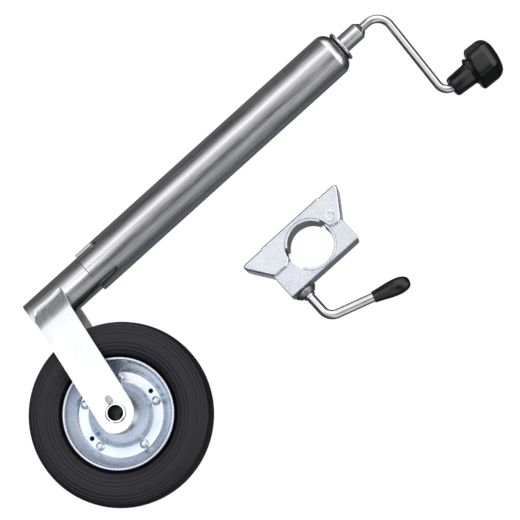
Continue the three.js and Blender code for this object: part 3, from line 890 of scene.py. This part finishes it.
def make_tyre():
    """A solid tyre: ribbed side walls, a plain rounded tread, and a fine parting line."""
    inner, outer = TYRE_WALL
    side = rounded([(0, 49.2), (2.6, 49.2, 1), (11, 56.6, 1), (16.8, 61, 1), (20.6, 62.4, 0.8),
                    (22.4, inner, 0.6)], closed=False, steps=3)
    wall = []
    count = 110
    for k in range(count + 1):
        radius = inner + (outer - inner) * k / count
        off_crest = radius - TYRE_CREST_RADIUS
        depth = TYRE_CREST_DEPTH - 0.0135 * off_crest ** 2 - 0.000035 * abs(off_crest) ** 3.6
        ribs = sum(0.55 * math.exp(-((radius - rib) / 0.55) ** 2) for rib in TYRE_RIBS)
        wall.append(Vector((depth - 0.5 + ribs, radius)))
    tread = rounded([tuple(wall[-1]), (15.5, 94.9, 5), (7, 96.2, 4), (1.2, 96.45),
                     (0.6, TYRE_RADIUS + 0.1)], closed=False, steps=5)
    near = [*side, *wall, *tread[1:]]
    far = [Vector((-depth, radius)) for depth, radius in reversed(near)]
    profile = [*near, Vector((0, TYRE_RADIUS)), *far[:-1]]
    piece("tyre_body", turned(profile, "Z", 160), WHEEL, "wheel", ["tyre"], "tyre_rubber",
          TYRE_RUBBER, angle=60)


def on_rivet_circle(bm, degrees):
    """Moves a shape from the wheel's centre to a place on the circle of its rivets."""
    return moved(bm, rotation(degrees) @ shift(RIVET_CIRCLE, 0, 0))


def make_rim():
    """Two pressed halves with rolled edges and two vents, held together by rivets."""
    pressed = rounded([
        (26, 14.6),
        (25, 17.6, 3),
        (20.5, 21.8, 3),
        (4.5, 32, 4),
        (2.1, 33.9, 2),
        (2.1, 44.8, 2),
        (3.6, 46.6, 3),
        (13, 53.8, 3),
        (17.6, 56),
    ], closed=False, steps=7)
    bead = rounded([(16.4, 54.9), (18.8, 55.2, 1), (20.4, 56.1, 1.2), (20.5, 58.1, 1.2),
                    (18.6, 59.1, 1), (16, 57.2)], steps=4)
    vents = []
    for degrees in VENT_ANGLES:
        vent = turned([(-5, 0), (-5, VENT_RADIUS), (8, VENT_RADIUS), (8, 0)], "Z", 32)
        vents.append(on_rivet_circle(vent, degrees))
    disc = turned(sheet(pressed, RIM_THICKNESS), "Z", 160)
    half = cut(join(disc, turned(bead, "Z", 160)), *vents)
    near_and_far("rim_half", half, WHEEL, "wheel", "rim", "blue_zinc", RIM_ZINC, angle=60)
    head = [(2.3, 2.6), (2.35, 5.0, 0.4), (3.3, 4.7, 0.8), (4.7, 2.6, 1.6), (4.95, 0)]
    profile = rounded(both_sides(head), steps=5)
    for k in range(RIVET_COUNT):
        rivet = on_rivet_circle(turned(profile, "Z", 40), FIRST_RIVET + 360 * k / RIVET_COUNT)
        piece(f"rivet_{k + 1}", rivet, WHEEL, "wheel", [f"rim_rivet_{k + 1}"], "blue_zinc",
              RIM_ZINC, angle=60)


# ---------------------------------------------------------------- clamp

def inset(points, distance):
    """The closed outline moved inwards by a distance."""
    area = sum(a.x * b.y - b.x * a.y for a, b in zip(points, points[1:] + points[:1]))
    inwards = 1 if area > 0 else -1
    result = []
    for i, here in enumerate(points):
        back = (here - points[i - 1]).normalized()
        on = (points[(i + 1) % len(points)] - here).normalized()
        first = Vector((-back.y, back.x)) * inwards
        second = Vector((-on.y, on.x)) * inwards
        reach = max(1 + first.dot(second), 0.6)
        result.append(here + (first + second) * distance / reach)
    return result


def pillow(points, low, high, edge, steps=5):
    """An outline given height, with its bottom and top edges rounded off."""
    sections = []
    for k in range(steps + 1):
        angle = math.pi / 2 * k / steps
        ring = inset(points, edge * (1 - math.sin(angle)))
        sections.append([(x, y, low + edge * (1 - math.cos(angle))) for x, y in ring])
    top = [[(x, y, high + low - z) for x, y, z in section] for section in reversed(sections)]
    return lofted(sections + top)


def plate_bore():
    """What the clamp's bore takes out of its plates."""
    low, high = -5, CLAMP_DEPTH + 5
    return turned([
        (low, 0),
        (low, PLATE_BORE_RADIUS),
        (high, PLATE_BORE_RADIUS),
        (high, 0),
    ], "Z", 128)


def saddle(start, end, count, low, high):
    """A lining of the bore, from one angle to another, in degrees."""
    back = arc_points((0, 0), SADDLE_RADIUS, start, end, count)
    front = arc_points((0, 0), BORE_RADIUS, end, start, count)
    return extruded(back + front, low, high)


def make_bracket():
    """A folded channel: two side plates and a joggled back, open towards the jaw."""
    outline = rounded([
        (-71.2, 30.6, 4.4),
        (-49.3, -0.8, 4),
        (-33.5, -1, 5.5),
        (-26, 4, 2),
        (18, 4),
        *arc_points(PIVOT, 10.7, 226, 323, 24),
        (64, 30.6, 4.4),
        (37.8, 30.6, 1),
        (36.2, 31.6, 1),
        (-40.8, 31.6, 1),
        (-42.4, 30.6, 1),
    ], steps=5)
    inside = [(-90, 27.6), (-43, 27.6), (-41.4, 28.6), (36.8, 28.6), (38.4, 27.6), (90, 27.6),
              (90, -20), (-90, -20)]
    channel = extruded(inside, PLATE, CLAMP_DEPTH - PLATE)
    shape = cut(pillow(outline, 0, CLAMP_DEPTH, 2.4), channel, plate_bore())
    piece("bracket_body", shape, CLAMP, "clamp", ["clamp_bracket"], "satin_zinc", CLAMP_ZINC,
          bevel=0.4, angle=45, flat=True)
    lining = saddle(28, 148, 40, 0.4, CLAMP_DEPTH - 0.4)
    piece("saddle_upper", lining, CLAMP, "clamp", ["bracket_saddle"], "satin_zinc", CLAMP_ZINC,
          bevel=0.6, angle=50, flat=True)
    top = CLAMP_DEPTH
    profile = rounded([(0.3, 0), (0.3, 4), (top - 0.3, 4), (top + 0.1, 6.4, 0.3),
                       (top + 0.5, 6.2, 0.4), (top + 0.6, 4.4, 0.2), (top + 0.2, 3.6, 0.3),
                       (top + 0.3, 0)], steps=4)
    rivet = moved(turned(profile, "Z", 48), shift(*PIVOT, 0))
    piece("hinge_rivet", rivet, CLAMP, "clamp", ["pivot_rivet"], "bright_zinc", CLAMP_ZINC)


def make_jaw():
    """The pressed jaw: a floor, two sides, a bent-up end and a drilled hole for the screw."""
    outline = rounded([
        (-51.3, -28.2, 3.2),
        (41.5, -28.2, 3.2),
        (41.5, 3, 1.5),
        *arc_points(PIVOT, 8.5, -20, 150, 24),
        (18, 2),
        (-51.3, 2, 2),
    ], steps=5)
    inside = [(-48.3, -25.2), (38.5, -25.2), (38.5, -19), (60, -19), (60, 60), (-60, 60),
              (-60, 1), (-48.3, 1)]
    low, high = JAW_FACES
    hole = turned([
        (-34, 0),
        (-34, SCREW_HOLE_RADIUS),
        (-20, SCREW_HOLE_RADIUS),
        (-20, 0),
    ], "Y", 48)
    moved(hole, shift(SCREW_X, 0, SCREW_Z))
    channel = extruded(inside, low + PLATE, high - PLATE)
    shape = cut(pillow(outline, low, high, 1.2), channel, hole, plate_bore())
    piece("jaw_body", shape, CLAMP, "jaw", ["clamp_jaw"], "satin_zinc", CLAMP_ZINC,
          bevel=0.4, angle=45, flat=True)
    lining = saddle(211, 373, 50, low, high)
    piece("saddle_lower", lining, CLAMP, "jaw", ["jaw_saddle"], "satin_zinc", CLAMP_ZINC,
          bevel=0.6, angle=50, flat=True)


def make_screw():
    """The boss the screw turns in, the bent screw, its collar and its grip."""
    boss_hole = SCREW_RADIUS + 0.4
    snug_hole = SCREW_RADIUS + 0.3
    boss = rounded([(-28.85, boss_hole), (-30, 12.5, 0.6), (-31.6, 12.5, 1), (-35.8, 8.7, 1),
                    (-35.8, boss_hole)])
    piece("boss_body", turned(boss, "Y", 64), SCREW, "boss", ["screw_boss"], "oiled_steel",
          BOSS_STEEL)
    arm = Vector((math.cos(ARM_ANGLE), math.sin(ARM_ANGLE)))
    corner = Vector((0, SCREW_CORNER_Y))
    path = bent_path([(0, 25), corner, corner + ARM_LENGTH * arm], [SCREW_BEND])
    piece("screw_rod", swept(path, lambda share: SCREW_RADIUS), SCREW, "screw", ["clamp_rod"],
          "bright_zinc", ROD_ZINC)
    collar = rounded([(-36.2, snug_hole), (-36.2, 6.6, 0.5), (-38.6, 6.6, 0.8),
                      (-38.6, snug_hole)])
    piece("screw_collar", turned(collar, "Y", 48), SCREW, "screw", ["clamp_collar"], "bright_zinc",
          ROD_ZINC)
    start = corner + GRIP_START * arm
    grip_frame = SCREW @ shift(start.x, start.y, 0) @ Matrix.Rotation(ARM_ANGLE, 4, "Z")
    tip = []
    for k in range(1, 17):
        turn = math.pi / 2 * k / 16
        radius = GRIP_RADIUS * max(0, math.cos(turn)) ** 0.7
        tip.append((GRIP_BARREL + 14.5 * math.sin(turn), radius))
    grip = rounded([
        (0.3, snug_hole),
        (0, 6.1, 0.5),
        (8, 7.1, 6),
        (18, 8.5, 8),
        (25, GRIP_RADIUS, 3),
        *tip,
        (34.5, 0),
        (34.5, snug_hole),
    ], steps=5)
    piece("grip_body", turned(grip, "X", 64), grip_frame, "screw", ["clamp_grip"],
          "black_plastic", GRIP_PLASTIC, angle=50)


# ---------------------------------------------------------------- camera, light and floor

IMAGE_SIDE = 520
MM_PER_PIXEL = 1.0405
SENSOR_WIDTH = 36
CAMERA_DISTANCE = 2080
TUBE_ANGLE = math.radians(42.06)
AIM_ON_JACK = (141.4, -111.1, 0)
TOWARDS_CAMERA = Vector((0, -0.168, 0.986)).normalized()


def make_camera():
    """Above the part and a little to its -Y side, rolled so the tube rises to the right."""
    data = bpy.data.cameras.new("camera")
    data.sensor_width = SENSOR_WIDTH
    data.lens = SENSOR_WIDTH * CAMERA_DISTANCE / (IMAGE_SIDE * MM_PER_PIXEL)
    data.clip_end = 20
    camera = bpy.data.objects.new("camera", data)
    scene.collection.objects.link(camera)
    back = TOWARDS_CAMERA
    tube = Vector((1, 0, 0))
    tube_in_view = (tube - tube.dot(back) * back).normalized()
    right = Matrix.Rotation(-TUBE_ANGLE, 3, back) @ tube_in_view
    turn = Matrix((right, back.cross(right), back)).transposed().to_4x4()
    position = JACK @ Vector(AIM_ON_JACK) + back * CAMERA_DISTANCE * MM
    camera.matrix_world = Matrix.Translation(position) @ turn
    scene.camera = camera


# The strips' light by the angle in degrees from straight up, positive towards +Y.
SKY = [
    (-180, (0.16, 0.18, 0.19)),
    (-165, (0.11, 0.12, 0.13)),
    (-150, (0.11, 0.12, 0.13)),
    (-132, (0.14, 0.15, 0.16)),
    (-112, (0.08, 0.085, 0.1)),
    (-98, (0.11, 0.12, 0.14)),
    (-84, (0.16, 0.18, 0.2)),
    (-74, (0.3, 0.32, 0.33)),
    (-62, (0.37, 0.38, 0.38)),
    (-48, (0.38, 0.38, 0.38)),
    (-40, (0.24, 0.24, 0.24)),
    (-30, (0.1, 0.1, 0.105)),
    (-20, (0.12, 0.12, 0.125)),
    (-10, (0.36, 0.36, 0.37)),
    (-2, (0.53, 0.53, 0.54)),
    (7, (0.62, 0.62, 0.64)),
    (15, (0.85, 0.85, 0.88)),
    (24, (1.45, 1.45, 1.48)),
    (32, (1.2, 1.2, 1.23)),
    (44, (0.6, 0.6, 0.62)),
    (56, (0.26, 0.26, 0.27)),
    (66, (0.08, 0.08, 0.085)),
    (82, (0.07, 0.07, 0.072)),
    (104, (0.12, 0.12, 0.122)),
    (135, (0.14, 0.14, 0.145)),
    (155, (0.1, 0.1, 0.105)),
    (180, (0.16, 0.18, 0.19)),
]
# The same for the side panels, by how far the direction points towards +X.
SIDES = [
    (-1, (0.07, 0.07, 0.08)),
    (-0.8, (0.12, 0.12, 0.13)),
    (-0.6, (0.45, 0.45, 0.47)),
    (-0.15, (1.25, 1.25, 1.27)),
    (0.3, (1.6, 1.6, 1.6)),
    (0.72, (1.3, 1.3, 1.3)),
    (0.9, (0.25, 0.25, 0.26)),
    (1, (0.08, 0.08, 0.08)),
]
# How much of a direction points sideways where the strips start to fade, and have faded.
SIDES_FADE_IN = (0.13, 0.36)
GROUND = (0.05, 0.05, 0.055)


def make_world():
    """A light tent seen in the metal: strips that run along the tube, and side panels.

    Directions with little x see the strips and those well to a side see the panels, which
    end just below the horizon. The camera itself sees plain white.
    """
    world = bpy.data.worlds.new("light_tent")
    scene.world = world
    world.use_nodes = True
    nodes, links = world.node_tree.nodes, world.node_tree.links
    nodes.clear()
    where = nodes.new("ShaderNodeTexCoord")
    parts = nodes.new("ShaderNodeSeparateXYZ")
    links.new(where.outputs["Generated"], parts.inputs["Vector"])
    angle = nodes.new("ShaderNodeMath")
    angle.operation = "ARCTAN2"
    links.new(parts.outputs["Y"], angle.inputs[0])
    links.new(parts.outputs["Z"], angle.inputs[1])
    turn = spread(nodes, links, angle.outputs[0], 0, 1, -math.pi, math.pi)
    strips = ramp(nodes, links, turn, [((degrees + 180) / 360, c) for degrees, c in SKY])
    across = spread(nodes, links, parts.outputs["X"], 0, 1, -1, 1)
    panels = ramp(nodes, links, across, [((x + 1) / 2, c) for x, c in SIDES])
    height = spread(nodes, links, parts.outputs["Z"], 0, 1, -0.15, 0.25)
    ground = nodes.new("ShaderNodeRGB")
    ground.outputs[0].default_value = (*GROUND, 1)
    panels = mixed(nodes, links, height, ground.outputs[0], panels)
    either_side = nodes.new("ShaderNodeMath")
    either_side.operation = "ABSOLUTE"
    links.new(parts.outputs["X"], either_side.inputs[0])
    sideways = spread(nodes, links, either_side.outputs[0], 0, 1, *SIDES_FADE_IN)
    tent = nodes.new("ShaderNodeBackground")
    links.new(mixed(nodes, links, sideways, strips, panels), tent.inputs["Color"])
    backdrop = nodes.new("ShaderNodeBackground")
    backdrop.inputs["Color"].default_value = (1, 1, 1, 1)
    path = nodes.new("ShaderNodeLightPath")
    mix = nodes.new("ShaderNodeMixShader")
    links.new(path.outputs["Is Camera Ray"], mix.inputs["Fac"])
    links.new(tent.outputs["Background"], mix.inputs[1])
    links.new(backdrop.outputs["Background"], mix.inputs[2])
    output = nodes.new("ShaderNodeOutputWorld")
    links.new(mix.outputs["Shader"], output.inputs["Surface"])


FLOOR_HALF_SIDE = 6
FLOOR_DROP = 0.0005
SHADE_REACH = 0.08
# Floor this open is dark at the first value and white from the second on.
SHADE_OPENNESS = (0.12, 0.155)


def make_floor():
    """A white floor that stays out of the metal's reflections.

    Only floor that is nearly covered, such as under the wheel, is dark: painted shade, from how
    open the floor is above it.
    """
    bm = bmesh.new()
    bmesh.ops.create_grid(bm, x_segments=1, y_segments=1, size=FLOOR_HALF_SIDE)
    mesh = bpy.data.meshes.new("floor")
    bm.to_mesh(mesh)
    bm.free()
    floor = bpy.data.objects.new("floor", mesh)
    floor.location.z = -FLOOR_DROP
    scene.collection.objects.link(floor)
    material, nodes, links, shader = new_material("floor_white")
    shader.inputs["Base Color"].default_value = (0.1, 0.1, 0.1, 1)
    shader.inputs["Roughness"].default_value = 1
    shader.inputs["Specular IOR Level"].default_value = 0
    shader.inputs["Emission Color"].default_value = (1, 1, 1, 1)
    openness = nodes.new("ShaderNodeAmbientOcclusion")
    openness.samples = 32
    openness.inputs["Distance"].default_value = SHADE_REACH
    glow = spread(nodes, links, openness.outputs["AO"], 0, 0.97, *SHADE_OPENNESS)
    links.new(glow, shader.inputs["Emission Strength"])
    mesh.materials.append(material)
    floor.visible_glossy = False
    floor.visible_diffuse = False
    floor.visible_shadow = False


def make_light(name, location, size, power, in_metal=False):
    """A square light aimed at the origin, which the metal reflects if asked."""
    data = bpy.data.lights.new(name, "AREA")
    data.shape = "SQUARE"
    data.size = size
    data.energy = power
    light = bpy.data.objects.new(name, data)
    light.location = location
    light.rotation_euler = (-Vector(location)).to_track_quat("-Z", "Y").to_euler()
    light.visible_glossy = in_metal
    scene.collection.objects.link(light)


make_outer_tube()
make_inner_tube()
make_crank()
make_knob()
make_fork()
make_axle()
make_tyre()
make_rim()
make_bracket()
make_jaw()
make_screw()
make_camera()
make_world()
make_floor()
make_light("soft_top", (-0.4, 0.5, 1.6), size=1.4, power=10)
make_light("leg_panel", (-0.33, 0.15, 1.0), size=0.3, power=0.3, in_metal=True)
scene.view_settings.view_transform = "Standard"
